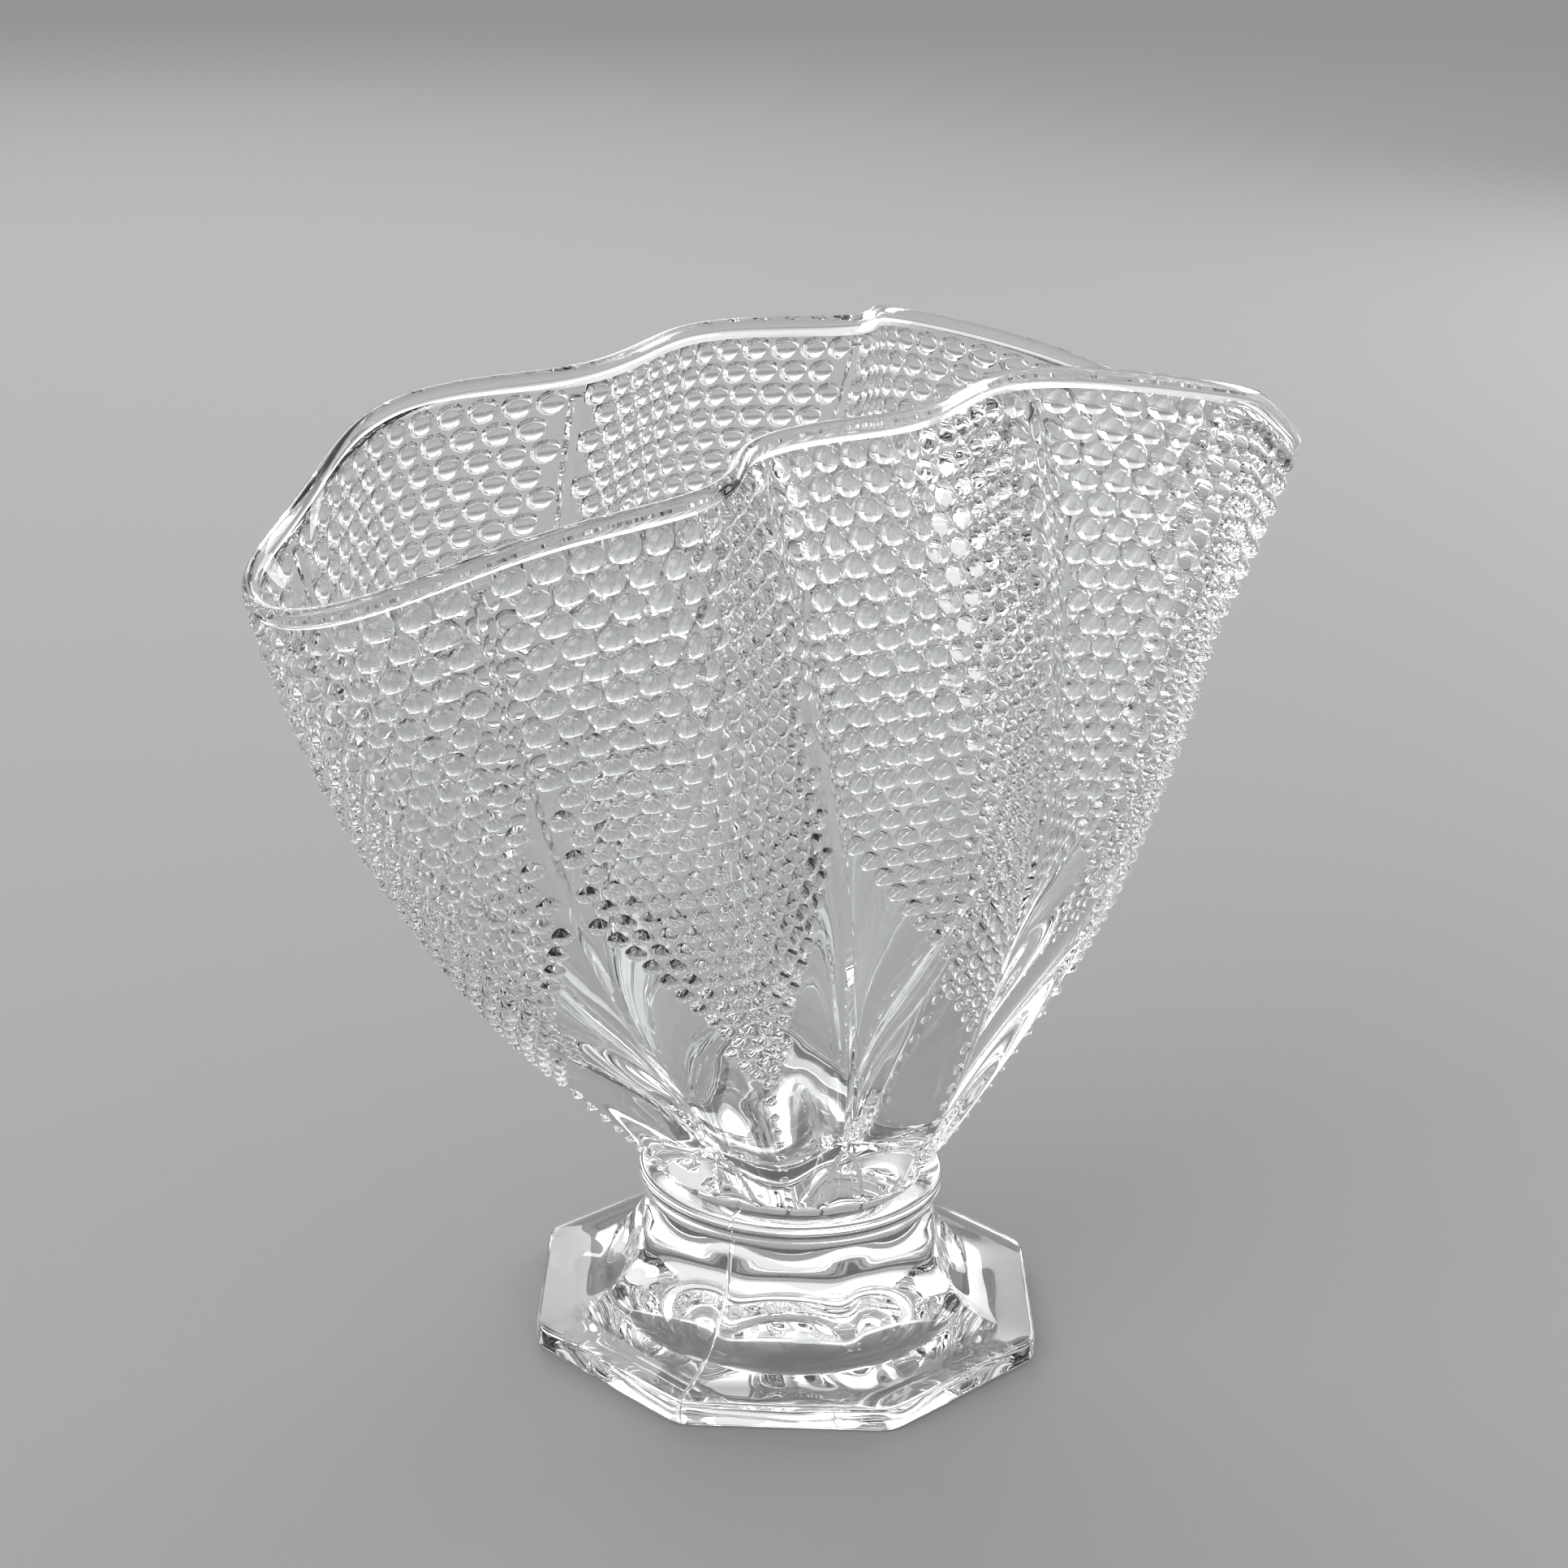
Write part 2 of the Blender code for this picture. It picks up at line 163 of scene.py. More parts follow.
def bowlSkin(angles, shares):
    # rows of the lobed skin, with the normal and the upward direction at every point.
    # Height is the sum of sqrt(step^2 - sideways^2), so that each strip of glass keeps its length, and
    # the lobes stand out by depth * (|cos(4 * angle)|^1.8 - 0.6), rounded in the valleys
    fine = np.linspace(0.0, 1.0, 501)
    x, y = ringPlan(angles[None, :], fine[:, None])
    step = vaseShape["wallLength"] / (len(fine) - 1)
    sideways = np.diff(x, axis=0) ** 2 + np.diff(y, axis=0) ** 2
    rise = np.sqrt(np.maximum(step ** 2 - sideways, 0.01 * step ** 2))
    z = vaseShape["bowlBase"] + np.concatenate([np.zeros((1, len(angles))), np.cumsum(rise, axis=0)])
    nextX, nextY = ringPlan(angles[None, :] + 1e-4, fine[:, None])
    span = np.hypot(nextX - x, nextY - y)
    low, high = vaseShape["lobeDepth"]
    depth = low + (high - low) * fine[:, None] ** vaseShape["lobeGrowth"]
    turned = angles[None, :] - math.radians(vaseShape["mouthTurn"]) * fine[:, None] ** 2
    depth = depth * (1.0 - vaseShape["endEase"] * np.sin(turned) ** 4 * fine[:, None])
    besideFront = np.maximum(np.cos(turned + math.pi / vaseShape["lobes"]), 0.0) ** vaseShape["frontEaseReach"]
    depth = depth * (1.0 - vaseShape["frontEase"] * besideFront * fine[:, None])
    ease = vaseShape["valleyEase"] * fine[:, None]
    wave = np.cos(0.5 * vaseShape["lobes"] * angles[None, :]) ** 2
    wave = ((wave + ease) / (1.0 + ease)) ** (0.5 * vaseShape["lobeFullness"])
    swell = depth * (wave - vaseShape["lobeSet"])
    skin = np.stack([x + swell * (nextY - y) / span, y - swell * (nextX - x) / span, z], axis=-1)
    around = np.roll(skin, -1, axis=1) - np.roll(skin, 1, axis=1)
    upward = np.gradient(skin, axis=0)
    normal = np.cross(around, upward)
    normal /= np.linalg.norm(normal, axis=-1, keepdims=True)
    upward /= np.linalg.norm(upward, axis=-1, keepdims=True)
    place = np.clip(np.asarray(shares) * (len(fine) - 1), 0, len(fine) - 1 - 1e-9)
    index = place.astype(int)
    part = (place - index)[:, None, None]
    return [grid[index] * (1.0 - part) + grid[index + 1] * part for grid in (skin, normal, upward)]


def beadRows():
    # the rows run down the wall so that one row is 0.866 of the pitch, and the pitch follows the radius
    fine = np.linspace(0.0, 1.0, 2001)
    turn = 2.0 * math.pi / vaseShape["lobes"] / (beadField["columns"] + beadField["strip"])
    rate = vaseShape["wallLength"] / (rowSpacing * roundRadius(fine) * turn)
    count = np.concatenate([[0.0], np.cumsum((rate[1:] + rate[:-1]) / 2.0)]) / (len(fine) - 1)
    rows = np.interp(beadField["topShare"], fine, count) - count
    return fine, rows, roundRadius(fine) * turn


def beadLimits():
    # rows at which the field has its full width, at which it has run out, and at which the chain ends
    fine, rowAt, pitchAt = beadRows()
    shares = (beadField["panesTop"], beadField["panesFoot"], beadField["chainFoot"])
    return [float(np.interp(share, fine, rowAt)) for share in shares]


def beadCells(columns, rows):
    # place inside the bead's own cell, from -0.5 to 0.5 each way, and whether the cell has a bead.
    # Every second row is shifted by half a pitch
    fullRow, footRow, lastRow = beadLimits()
    row = np.floor(rows)[:, None]
    shift = np.where(row % 2 == 0, 0.5, 0.0)
    centre = np.floor(columns[None, :] - shift + 0.5) + shift
    reach = np.clip((footRow - row - 0.5) / (footRow - fullRow), 0.0, 1.0)
    inField = np.abs(centre) < 0.5 * beadField["columns"] * reach - beadField["edgeMargin"]
    inChain = (np.abs(centre) < 0.1) & (row + 0.5 < lastRow)
    beside = columns[None, :] - centre
    below = rows[:, None] - row - 0.5 + 0.0 * centre
    return beside, below, (row >= 0) & (inField | inChain)


def beadHeights(columns, rows):
    # domes on a hexagonal grid: height = rise * (1 - (distance / radius)^2)^0.7
    beside, below, there = beadCells(columns, rows)
    distance = np.hypot(beside / beadField["radius"], below / beadField["rowRadius"])
    dome = np.maximum(1.0 - distance ** 2, 0.0) ** beadField["domePower"]
    return dome * there * beadRise(rows)[:, None]


def beadRise(rows):
    # the beads get lower as the bowl gets narrower
    fine, rowAt, pitchAt = beadRows()
    return beadField["height"] * np.interp(-rows, -rowAt, pitchAt) / pitchAt[-1]


def octagonRing(angles, width, height, crisp=vaseShape["cornerCrisp"][0]):
    # radius = half width / (sum over the flats of cos(angle from the flat)^crisp)^(1 / crisp), an
    # octagon with its corners rounded a little
    flats = np.arange(vaseShape["lobes"]) * 2.0 * math.pi / vaseShape["lobes"]
    facing = np.maximum(np.cos(angles[None, :] - flats[:, None]), 0.0)
    radius = 0.5 * width / (facing ** crisp).sum(axis=0) ** (1.0 / crisp)
    return np.stack([radius * np.sin(angles), -radius * np.cos(angles), 0.0 * angles + height], axis=-1)


def circleRing(angles, radius, height):
    # (radius * sin, -radius * cos, height), so that angle 0 is at the front
    return np.stack([radius * np.sin(angles), -radius * np.cos(angles), 0.0 * angles + height], axis=-1)


def footRings(angles):
    # underside dome, upright edge, small step, then a quarter ellipse that sweeps up to the neck
    v = vaseShape
    rings = [circleRing(angles, v["recessRadius"] * k, v["recessDepth"] * (1.0 - k ** 2))
             for k in (0.1, 0.2, 0.3, 0.4, 0.5, 0.6, 0.7, 0.8, 0.88, 0.94, 0.98)]
    innerInset, outerInset = v["restInset"]
    rings.append(circleRing(angles, v["recessRadius"] + innerInset, 0.0))
    rings.append(octagonRing(angles, v["footWidth"] - 2.0 * outerInset, 0.0))
    for turn in np.radians((0.0, 30.0, 60.0, 90.0)):
        inset = v["edgeEase"] * (1.0 - math.sin(turn))
        height = v["edgeEase"] * (1.0 - math.cos(turn))
        rings.append(octagonRing(angles, v["footWidth"] - 2.0 * inset, height))
    top = v["stepHeight"] - v["footEdge"]
    for turn in np.radians((0.0, 35.0, 65.0, 90.0)):
        inset = v["edgeEase"] * (1.0 - math.cos(turn))
        height = v["footEdge"] + top * math.sin(turn)
        rings.append(octagonRing(angles, v["footWidth"] - 2.0 * inset, height))
    wide = v["footWidth"] - 2.0 * v["stepDepth"]
    crisp, soft = v["cornerCrisp"]
    for turn in np.radians(np.linspace(0.0, 90.0, 13)):
        width = wide - (wide - v["neckWidth"]) * math.sin(turn)
        height = v["flareTop"] - (v["flareTop"] - v["flareBase"]) * math.cos(turn)
        rings.append(octagonRing(angles, width, height, crisp - (crisp - soft) * turn / (0.5 * math.pi)))
    return rings


def collarRings(angles):
    # a groove, a round bead of glass and a deeper groove under the bowl
    v = vaseShape
    grooveRadius, grooveHeight = v["lowerGroove"]
    deepRadius, deepHeight = v["upperGroove"]
    top = v["bowlBase"] - deepHeight
    rings = [circleRing(angles, grooveRadius, v["flareTop"] + grooveHeight)]
    for turn in np.radians((-70.0, -45.0, -20.0, 0.0, 20.0, 45.0, 70.0)):
        bulge = (v["collarRadius"] - grooveRadius) * math.cos(turn)
        rings.append(circleRing(angles, grooveRadius + bulge,
                                top - v["collarHeight"] / 2.0 * (1.0 - math.sin(turn))))
    rings.append(circleRing(angles, deepRadius, top))
    rings.append(circleRing(angles, deepRadius, v["bowlBase"] - deepHeight / 3.0))
    return rings


def relief(columns, rows, beaded=True):
    # height over the plain glass, the greatest of the beads, the valley ribs, the small arches at
    # the foot of the valleys and the lip's band, less the tips' height, because the skin runs through
    # the tips of the beads. On a grid of columns and rows
    b = beadField
    fine, rowAt, pitchAt = beadRows()
    shares = np.interp(-rows, -rowAt, fine)
    fromValley = 0.5 * (b["columns"] + b["strip"]) - np.abs(columns)[None, :]
    rib = b["ribHeight"] * np.maximum(1.0 - fromValley / b["ribWidth"], 0.0) * (shares < b["ribTop"])[:, None]
    arch = b["archWidth"] * np.sqrt(np.clip(1.0 - shares / b["archTop"], 0.0, 1.0))[:, None]
    tongue = b["archHeight"] * np.clip((arch - fromValley) / 0.3, 0.0, 1.0)
    tips = beadRise(rows)
    swelling = np.clip((shares - b["topShare"]) / b["lipSwell"], 0.0, 1.0)
    band = (tips - vaseShape["lipInset"]) * swelling * (2.0 - swelling)
    highest = np.maximum(np.maximum(rib, tongue), band[:, None])
    if beaded:
        highest = np.maximum(highest, beadHeights(columns, rows))
    return highest - tips[:, None]


def outerGrid():
    # columns and rows of the outside, in pitches. Each lobe's columns run from its left valley to its
    # right one, and the rows start above the first beads and are twice as far apart below the panes
    fine, rowAt, pitchAt = beadRows()
    perLobe = beadField["columns"] + beadField["strip"]
    step = 1.0 / beadField["samples"]
    k = np.arange(int(perLobe * beadField["samples"]) * vaseShape["lobes"])
    columns = (k * step) % perLobe - perLobe / 2.0
    angles = (k * step - perLobe / 2.0) * 2.0 * math.pi / vaseShape["lobes"] / perLobe
    band = np.interp(beadField["bandShares"], fine, rowAt)
    panesRow = math.ceil(np.interp(beadField["panesFoot"] - 0.01, fine, rowAt))
    beaded = np.arange(0.0, panesRow, step)
    plain = np.arange(panesRow, rowAt[0] - 0.3, 2.0 * step)
    rows = np.concatenate([band, beaded, plain, [rowAt[0]]])
    return columns, angles, rows, np.interp(-rows, -rowAt, fine)


def outerRows(columns, angles, rows, shares):
    # the skin plus the relief along its normal
    skin, normal, upward = bowlSkin(angles, shares)
    return skin + relief(columns, rows)[..., None] * normal


def cornerDomes(columns, rows):
    # at each corner of each face: distance across and down from the bead's centre in its radii, and
    # its height, for the material
    across = 1.0 / beadField["samples"]
    down = np.diff(rows)
    beside, below, there = beadCells(columns + 0.5 * across, rows[:-1] + 0.5 * down)
    rise = beadRise(rows[:-1] + 0.5 * down)[:, None] * there
    corners = []
    for top, left in ((-0.5, -0.5), (-0.5, 0.5), (0.5, 0.5), (0.5, -0.5)):
        u = (beside + left * across) / beadField["radius"]
        v = (below + top * down[:, None]) / beadField["rowRadius"]
        corners.append(np.stack([u, v, rise], axis=-1))
    return np.stack(corners, axis=-2)


def cornerNormals(columns, angles, rows, shares, beaded):
    # the normal at each corner of each face: the skin's, tilted by the slope of the relief a little
    # inside that face, so that every bead stays round right up to the crease round it. Slopes are
    # taken over a small step, and inside and nudge are shares of a face and of a pitch
    skin, normal, upward = bowlSkin(angles, shares)
    around = np.cross(upward, normal)
    fine, rowAt, pitchAt = beadRows()
    pitch = np.interp(shares, fine, pitchAt)[:, None]
    across = 1.0 / beadField["samples"]
    down = np.diff(rows)
    inside, nudge = 0.22, 0.02
    corners = []
    for top, left in ((True, True), (True, False), (False, False), (False, True)):
        u = columns + inside * across if left else columns + (1.0 - inside) * across
        v = rows[:-1] + (inside if top else 1.0 - inside) * down
        here = relief(u, v, beaded)
        beside = (relief(u + nudge, v, beaded) - here) / nudge
        below = (relief(u, v + nudge, beaded) - here) / nudge
        pick = slice(0, -1) if top else slice(1, None)
        base, up, side = normal[pick], upward[pick], around[pick]
        if not left:
            base, up, side = [np.roll(grid, -1, axis=1) for grid in (base, up, side)]
        tilted = base - (beside / pitch[pick])[..., None] * side
        tilted = tilted + (below / (rowSpacing * pitch[pick]))[..., None] * up
        corners.append(tilted / np.linalg.norm(tilted, axis=-1, keepdims=True))
    return np.stack(corners, axis=-2)


def lipRings(angles):
    # half circle over the end of the wall: middle + half thickness * (cos across the wall, sin upward)
    skin, normal, upward = [grid[0] for grid in bowlSkin(angles, [1.0])]
    outer = skin - vaseShape["lipInset"] * normal
    inner = skin - vaseShape["innerDepth"][0] * normal
    half = 0.5 * np.linalg.norm(outer - inner, axis=-1, keepdims=True)
    rings = []
    for turn in np.radians((30.0, 60.0, 90.0, 120.0, 150.0)):
        aside = (outer - inner) / 2.0 * math.cos(turn)
        rings.append((outer + inner) / 2.0 + aside + upward * half * math.sin(turn))
    return rings


def innerRings(angles):
    # smooth inside, at the wall's thickness below the bead tips, down to the dished floor. Low down
    # the lobes are taken out of it, by leaving out the waves that are as short as a lobe
    v = vaseShape
    shares = np.linspace(1.0, v["cavityTurn"], 22)
    skin, normal, upward = bowlSkin(angles, shares)
    lip, body, base = v["innerDepth"]
    depth = lip + (body - lip) * (1.0 - shares ** 12) + (base - body) * (1.0 - shares) ** 3
    lobed = skin - depth[:, None, None] * normal
    waves = np.fft.rfft(lobed, axis=1)
    waves[:, vaseShape["lobes"] - 2:] = 0.0
    smooth = np.fft.irfft(waves, n=len(angles), axis=1)
    start, end = v["roundInside"]
    lower = np.clip((start - shares) / (start - end), 0.0, 1.0)[:, None, None]
    rings = list(lobed + lower * (smooth - lobed))
    last = rings[-1]
    for share in (0.93, 0.85, 0.75, 0.62, 0.45, 0.25, 0.1):
        ring = last * share
        ring[:, 2] = v["cavityFloor"] + (last[:, 2] - v["cavityFloor"]) * share ** 4
        rings.append(ring)
    return rings


def quadFaces(first, rowCount, columnCount):
    # two rows of points make one row of quads, closed round the vase
    row = first + np.arange(rowCount - 1)[:, None] * columnCount
    column = np.arange(columnCount)[None, :]
    here, beside = row + column, row + (column + 1) % columnCount
    return np.stack([here, beside, beside + columnCount, here + columnCount], axis=-1).reshape(-1, 4)


def joinFaces(coarseFirst, fineFirst, coarseCount, coarseBelow):
    # three triangles for each step of a ring whose neighbour has twice as many points
    k = np.arange(coarseCount)
    a, b = coarseFirst + k, coarseFirst + (k + 1) % coarseCount
    f, g, h = fineFirst + 2 * k, fineFirst + 2 * k + 1, fineFirst + (2 * k + 2) % (2 * coarseCount)
    faces = np.concatenate([np.stack([a, g, f], -1), np.stack([a, b, g], -1), np.stack([b, h, g], -1)])
    return faces if coarseBelow else faces[:, ::-1]


def capFaces(centre, first, count, upward):
    # a fan of triangles from the ring to its middle
    k = np.arange(count)
    faces = np.stack([0 * k + centre, first + (k + 1) % count, first + k], -1)
    return faces[:, ::-1] if upward else faces


def buildVase():
    # rings from under the foot up the outside, over the lip and down the inside, as one closed mesh
    columns, angles, rows, shares = outerGrid()
    fineCount = len(angles)
    coarseAngles = angles[::2]
    coarseCount = len(coarseAngles)

    lower = np.array(footRings(coarseAngles) + collarRings(coarseAngles))
    outer = outerRows(columns, angles, rows, shares)[::-1]
    upper = np.array(lipRings(coarseAngles) + innerRings(coarseAngles))
    tips = np.array([[0.0, 0.0, vaseShape["recessDepth"]], [0.0, 0.0, vaseShape["cavityFloor"]]])
    points = np.concatenate([lower.reshape(-1, 3), outer.reshape(-1, 3), upper.reshape(-1, 3), tips])
    middle = (points[:, :2].min(axis=0) + points[:, :2].max(axis=0)) / 2.0
    cadMiddle = [(cadBox[0][axis] + cadBox[1][axis]) / 2.0 for axis in (0, 1)]
    points[:, :2] += np.array(cadMiddle) - middle

    outerFirst = lower.shape[0] * coarseCount
    upperFirst = outerFirst + outer.shape[0] * fineCount
    tipFirst = upperFirst + upper.shape[0] * coarseCount
    quads = np.concatenate([
        quadFaces(0, lower.shape[0], coarseCount),
        quadFaces(outerFirst, outer.shape[0], fineCount),
        quadFaces(upperFirst, upper.shape[0], coarseCount),
    ])
    triangles = np.concatenate([
        joinFaces(outerFirst - coarseCount, outerFirst, coarseCount, True),
        joinFaces(upperFirst, upperFirst - fineCount, coarseCount, False),
        capFaces(tipFirst, 0, coarseCount, False),
        capFaces(tipFirst + 1, tipFirst - coarseCount, coarseCount, True),
    ])
    loops = np.concatenate([quads.ravel(), triangles.ravel()])
    totals = np.concatenate([np.full(len(quads), 4), np.full(len(triangles), 3)])
    starts = np.concatenate([[0], np.cumsum(totals)[:-1]])
    mesh = bpy.data.meshes.new("beadedGlass")
    mesh.vertices.add(len(points))
    mesh.vertices.foreach_set("co", points.astype(np.float32).ravel())
    mesh.loops.add(len(loops))
    mesh.loops.foreach_set("vertex_index", loops.astype(np.int32))
    mesh.polygons.add(len(totals))
    mesh.polygons.foreach_set("loop_start", starts.astype(np.int32))
    mesh.polygons.foreach_set("loop_total", totals.astype(np.int32))
    mesh.update(calc_edges=True)
    mesh.validate()
    creaseEdges(mesh, points)

    # the faces of the outside lie upside down in the mesh, so their corners are turned round here
    def onOutside(values, corners):
        first = (lower.shape[0] - 1) * coarseCount * 4
        turned = corners[::-1][..., [3, 2, 1, 0], :].reshape(-1, 3)
        values[first:first + len(turned)] = turned
        return values

    smooth = np.empty(len(loops) * 3, dtype=np.float32)
    mesh.corner_normals.foreach_get("vector", smooth)
    smooth = smooth.reshape(-1, 3)
    plain = onOutside(smooth.copy(), cornerNormals(columns, angles, rows, shares, False))
    # the seam stands along the mould's parting plane, over the foot and the collar but not underneath
    turn = math.radians(glassFinish["seamAngle"])
    places = points[loops] - np.array([cadMiddle[0] - middle[0], cadMiddle[1] - middle[1], 0.0])
    fromSeam = places[:, 0] * math.cos(turn) + places[:, 1] * math.sin(turn)
    height = places[:, 2]
    under = (np.hypot(places[:, 0], places[:, 1]) < vaseShape["recessRadius"] + vaseShape["restInset"][0])
    under &= height < vaseShape["recessDepth"] + 1e-6
    above = (height > 1e-5) & (height < vaseShape["bowlBase"] - 1e-6) & ~under
    rise = glassFinish["seamHeight"] * above
    seam = np.stack([fromSeam / glassFinish["seamWidth"], 0.0 * fromSeam, rise], axis=-1)
    domes = onOutside(seam.astype(np.float32), cornerDomes(columns, rows))
    for name, values in (("plainNormal", plain), ("domePlace", domes)):
        mesh.attributes.new(name, "FLOAT_VECTOR", "CORNER").data.foreach_set("vector", values.ravel())
    mesh.normals_split_custom_set(onOutside(smooth, cornerNormals(columns, angles, rows, shares, True)))
    vase = bpy.data.objects.new("beaded_fan_vase", mesh)
    bpy.context.scene.collection.objects.link(vase)
    print("vase:", len(points), "points,", len(quads) * 2 + len(triangles), "triangles")
    return vase


def creaseEdges(mesh, points):
    # an edge is sharp where its two faces turn by more than the crease angle
    mesh.shade_smooth()
    ends = np.empty(len(mesh.edges) * 2, dtype=np.int32)
    mesh.edges.foreach_get("vertices", ends)
    height = points[ends.reshape(-1, 2), 2].max(axis=1)
    flags = []
    for degrees in vaseShape["creases"]:
        mesh.set_sharp_from_angle(angle=math.radians(degrees))
        sharp = np.zeros(len(mesh.edges), dtype=bool)
        mesh.attributes["sharp_edge"].data.foreach_get("value", sharp)
        flags.append(sharp)
    sharp = np.where(height < vaseShape["flareTop"] + 1e-5, flags[0], flags[1])
    mesh.attributes["sharp_edge"].data.foreach_set("value", sharp)


# Finish of the glass
glassFinish = {
    "tint": (0.965, 0.975, 0.975, 1.0),
    "roughness": 0.0,
    "ior": 1.52,
    "wavesPerMetre": 90.0,
    "waveDepth": 0.00012,
    "seamHeight": 0.00030,   # mould seam on the foot and the collar
    "seamWidth": 0.00045,    # from its middle to its edge
    "seamAngle": -67.5,      # degrees, at a corner of the foot
}


def domeGroup():
    # height = rise * (1 - across^2 - down^2)^0.7, worked out at every point of the surface from the
    # mesh's domePlace. The mesh has four steps to a bead, and this rounds what lies between them
    group = bpy.data.node_groups.new("domeRelief", "ShaderNodeTree")
    group.interface.new_socket("Place", in_out="INPUT", socket_type="NodeSocketVector")
    group.interface.new_socket("Height", in_out="OUTPUT", socket_type="NodeSocketFloat")
    nodes, links = group.nodes, group.links
    start, end = nodes.new("NodeGroupInput"), nodes.new("NodeGroupOutput")
    parts = nodes.new("ShaderNodeSeparateXYZ")
    links.new(start.outputs["Place"], parts.inputs["Vector"])

    def work(operation, *values):
        node = nodes.new("ShaderNodeMath")
        node.operation = operation
        for socket, value in zip(node.inputs, values):
            if isinstance(value, (int, float)):
                socket.default_value = value
            else:
                links.new(value, socket)
        return node.outputs["Value"]

    across, down, rise = parts.outputs
    apart = work("MULTIPLY_ADD", across, across, work("MULTIPLY", down, down))
    left = work("MAXIMUM", work("SUBTRACT", 1.0, apart), 0.0)
    dome = work("POWER", left, beadField["domePower"])
    links.new(work("MULTIPLY", dome, rise), end.inputs["Height"])
    return group


def glassMaterial():
    # fire-polished glass: the domes and the seam, and over them the slow waves of the mould
    material = bpy.data.materials.new("firePolishedGlass")
    material.use_nodes = True
    nodes, links = material.node_tree.nodes, material.node_tree.links
    shader = nodes["Principled BSDF"]
    shader.inputs["Base Color"].default_value = glassFinish["tint"]
    shader.inputs["Roughness"].default_value = glassFinish["roughness"]
    shader.inputs["IOR"].default_value = glassFinish["ior"]
    shader.inputs["Metallic"].default_value = 0.0
    shader.inputs["Transmission Weight"].default_value = 1.0
    where = nodes.new("ShaderNodeTexCoord")
    waves = nodes.new("ShaderNodeTexNoise")
    waves.inputs["Scale"].default_value = glassFinish["wavesPerMetre"]
    waves.inputs["Detail"].default_value = 0.0
    links.new(where.outputs["Object"], waves.inputs["Vector"])
    domePlace = nodes.new("ShaderNodeAttribute")
    domePlace.attribute_name = "domePlace"
    domes = nodes.new("ShaderNodeGroup")
    domes.node_tree = domeGroup()
    links.new(domePlace.outputs["Vector"], domes.inputs["Place"])
    height = nodes.new("ShaderNodeMath")
    height.operation = "MULTIPLY_ADD"
    links.new(waves.outputs["Fac"], height.inputs[0])
    height.inputs[1].default_value = glassFinish["waveDepth"]
    links.new(domes.outputs["Height"], height.inputs[2])

    # seen from inside the glass the plain normal points the other way: plain * (1 - 2 * backfacing)
    side = nodes.new("ShaderNodeMath")
    side.operation = "MULTIPLY_ADD"
    links.new(nodes.new("ShaderNodeNewGeometry").outputs["Backfacing"], side.inputs[0])
    side.inputs[1].default_value, side.inputs[2].default_value = -2.0, 1.0
    plain = nodes.new("ShaderNodeAttribute")
    plain.attribute_name = "plainNormal"
    facing = nodes.new("ShaderNodeVectorMath")
    facing.operation = "SCALE"
    links.new(plain.outputs["Vector"], facing.inputs[0])
    links.new(side.outputs["Value"], facing.inputs["Scale"])
    even = nodes.new("ShaderNodeVectorMath")
    even.operation = "NORMALIZE"
    links.new(facing.outputs["Vector"], even.inputs[0])
    bump = nodes.new("ShaderNodeBump")
    bump.inputs["Strength"].default_value = 1.0
    bump.inputs["Distance"].default_value = 1.0
    links.new(even.outputs["Vector"], bump.inputs["Normal"])
    links.new(height.outputs["Value"], bump.inputs["Height"])
    links.new(bump.outputs["Normal"], shader.inputs["Normal"])
    return material


# The room: a pale floor, soft light and nothing else
room = {
    "floorSize": 60.0,
    "floorColour": (0.24, 0.24, 0.245, 1.0),
    "backdrop": ((0.00, 0.30), (0.22, 0.90), (0.60, 0.95), (1.00, 0.40)),   # sine of elevation, grey
    "fill": 1.0,
    "lamps": {                                     # place, size and watts
        "keyLight": ((-1.3, 0.1, 0.9), (1.2, 1.2), 12.0),
        "rimLight": ((0.6, 1.3, 0.9), (1.2, 0.9), 9.0),
        "sideLight": ((1.28, 0.1, 0.45), (0.7, 0.7), 7.0),
    },
    "lampAim": (0.0, 0.0, 0.1),
    "glassBounces": 10,                            # light goes back and forth in beaded glass
}


def buildFloor():
    half = room["floorSize"] / 2.0
    mesh = bpy.data.meshes.new("paleFloor")
    corners = [(-half, -half, 0.0), (half, -half, 0.0), (half, half, 0.0), (-half, half, 0.0)]
    mesh.from_pydata(corners, [], [(0, 1, 2, 3)])
    floor = bpy.data.objects.new("pale_floor", mesh)
    bpy.context.scene.collection.objects.link(floor)
    floor.location.z = -0.0001
    material = bpy.data.materials.new("matFloor")
    material.use_nodes = True
    shader = material.node_tree.nodes["Principled BSDF"]
    shader.inputs["Base Color"].default_value = room["floorColour"]
    shader.inputs["Roughness"].default_value = 0.7
    mesh.materials.append(material)


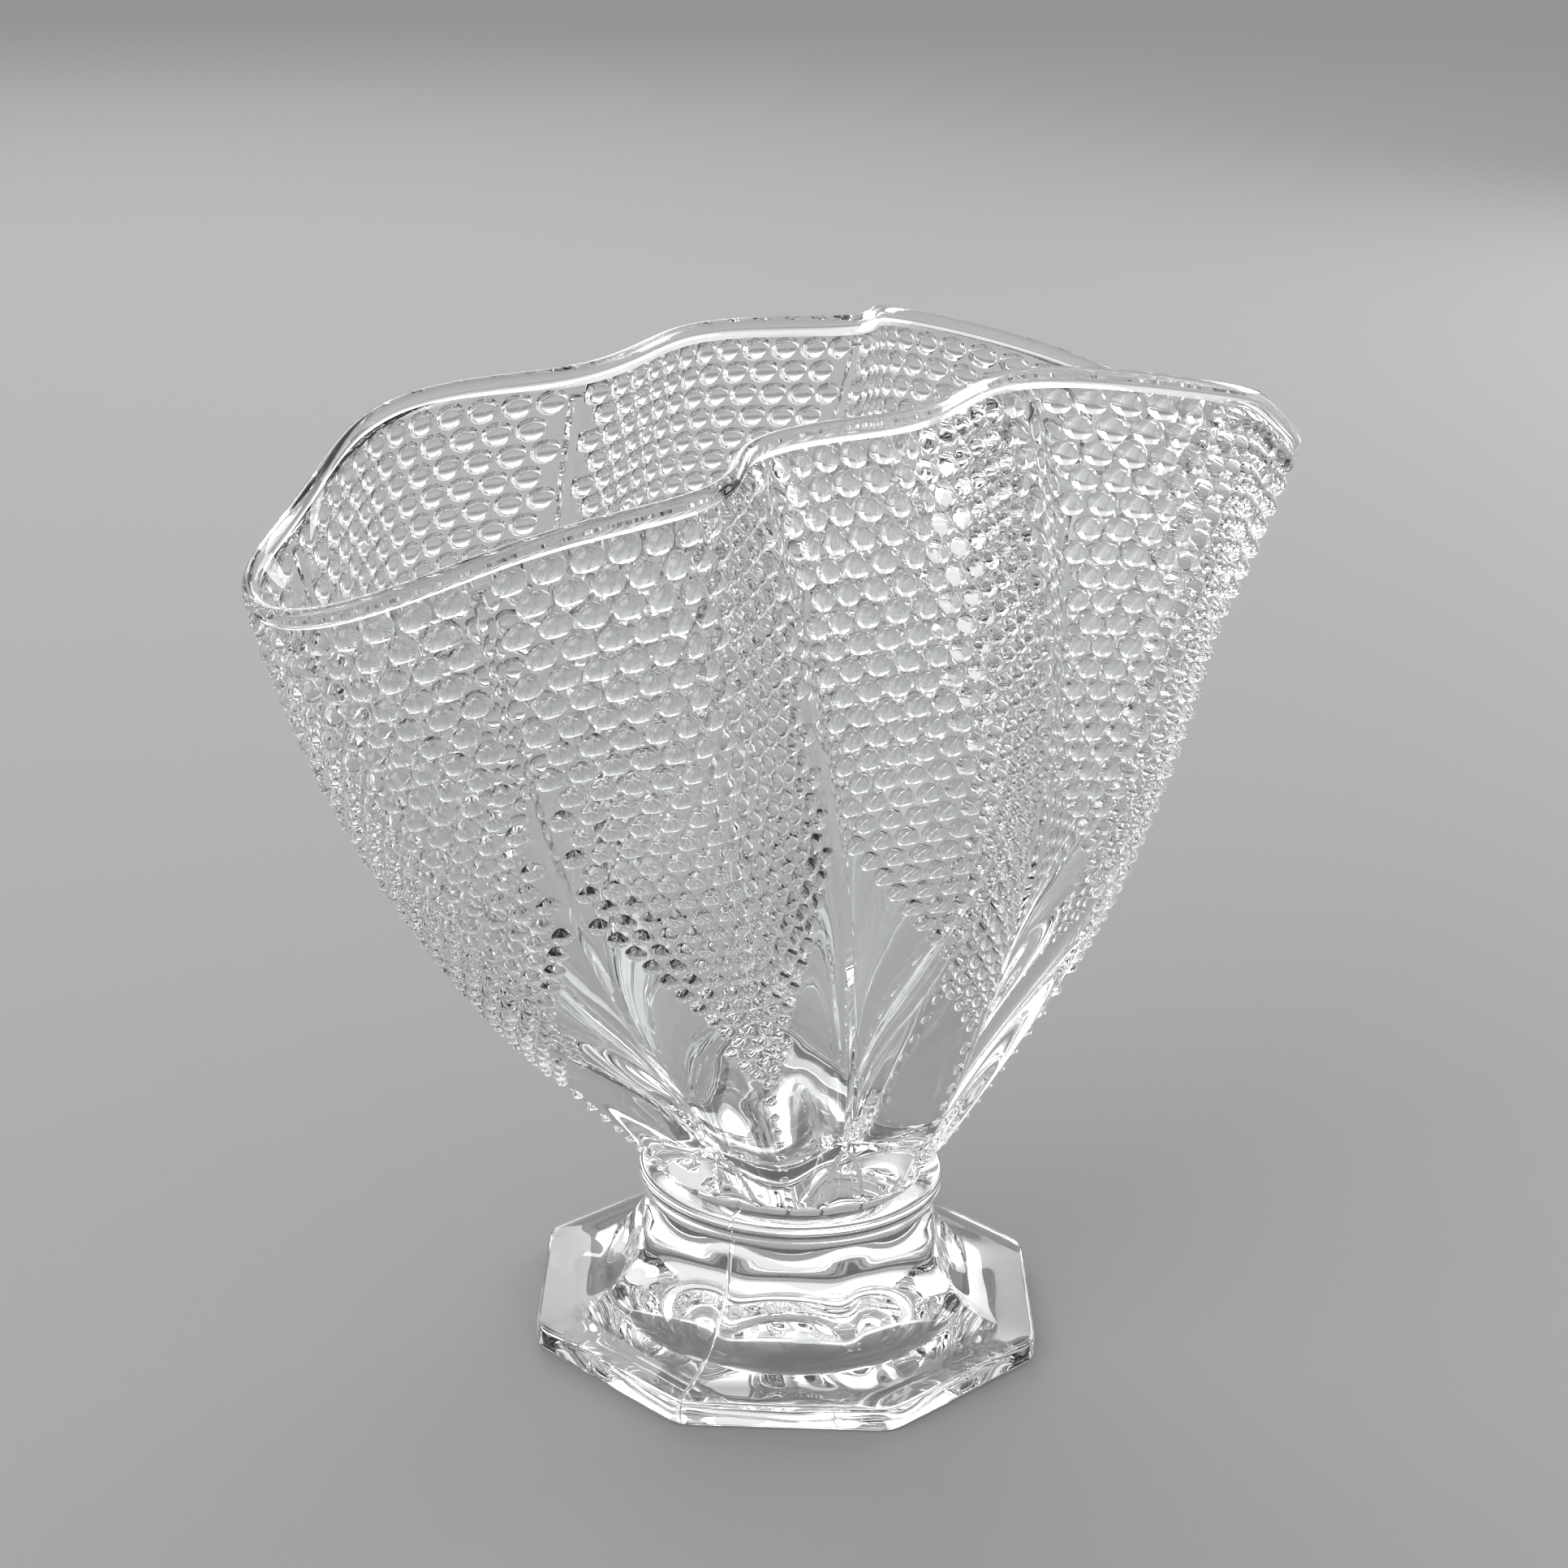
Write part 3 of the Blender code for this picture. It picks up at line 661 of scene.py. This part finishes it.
def buildWorld():
    # reflections and glass see a pale backdrop, greyer at the floor and overhead; diffuse light is even
    world = bpy.data.worlds.new("studio")
    world.use_nodes = True
    bpy.context.scene.world = world
    nodes, links = world.node_tree.nodes, world.node_tree.links
    back = nodes["Background"]
    back.inputs["Strength"].default_value = 1.0
    where = nodes.new("ShaderNodeTexCoord")
    axes = nodes.new("ShaderNodeSeparateXYZ")
    links.new(where.outputs["Generated"], axes.inputs["Vector"])
    shade = nodes.new("ShaderNodeValToRGB")
    shade.color_ramp.interpolation = "EASE"
    while len(shade.color_ramp.elements) < len(room["backdrop"]):
        shade.color_ramp.elements.new(0.5)
    for element, (rise, grey) in zip(shade.color_ramp.elements, room["backdrop"]):
        element.position = rise
        element.color = (grey, grey, grey, 1.0)
    links.new(axes.outputs["Z"], shade.inputs["Fac"])
    links.new(shade.outputs["Color"], back.inputs["Color"])
    fill = nodes.new("ShaderNodeBackground")
    fill.inputs["Color"].default_value = (1.0, 1.0, 1.0, 1.0)
    fill.inputs["Strength"].default_value = room["fill"]
    path = nodes.new("ShaderNodeLightPath")
    seen = nodes.new("ShaderNodeMath")
    seen.operation = "MAXIMUM"
    links.new(path.outputs["Is Camera Ray"], seen.inputs[0])
    links.new(path.outputs["Is Glossy Ray"], seen.inputs[1])
    through = nodes.new("ShaderNodeMath")
    through.operation = "MAXIMUM"
    links.new(seen.outputs["Value"], through.inputs[0])
    links.new(path.outputs["Is Transmission Ray"], through.inputs[1])
    mix = nodes.new("ShaderNodeMixShader")
    links.new(through.outputs["Value"], mix.inputs["Fac"])
    links.new(fill.outputs["Background"], mix.inputs[1])
    links.new(back.outputs["Background"], mix.inputs[2])
    links.new(mix.outputs["Shader"], nodes["World Output"].inputs["Surface"])


def softLight(name, place, aim, size, power):
    # a rectangular lamp that faces its aim
    data = bpy.data.lights.new(name, "AREA")
    data.shape = "RECTANGLE"
    data.size, data.size_y = size
    data.energy = power
    lamp = bpy.data.objects.new(name, data)
    bpy.context.scene.collection.objects.link(lamp)
    lamp.location = place
    lamp.rotation_euler = (Vector(aim) - Vector(place)).to_track_quat("-Z", "Y").to_euler()


def buildCamera():
    data = bpy.data.cameras.new("photoCamera")
    data.lens = cameraView["lens"]
    data.sensor_width = cameraView["sensor"]
    camera = bpy.data.objects.new("photoCamera", data)
    bpy.context.scene.collection.objects.link(camera)
    camera.location = cameraView["place"]
    camera.rotation_euler = [math.radians(angle) for angle in cameraView["turn"]]
    bpy.context.scene.camera = camera


vase = buildVase()
vase.data.materials.append(glassMaterial())
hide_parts("fan_vase")
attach(vase, "root")
print("glass done")

buildFloor()
buildWorld()
for lampName, (lampPlace, lampSize, lampPower) in room["lamps"].items():
    softLight(lampName, lampPlace, room["lampAim"], lampSize, lampPower)
buildCamera()
bpy.context.scene.view_settings.view_transform = "Standard"
cycles = bpy.context.scene.cycles
cycles.max_bounces = cycles.transmission_bounces = cycles.glossy_bounces = room["glassBounces"]
print("room, lights and camera done")
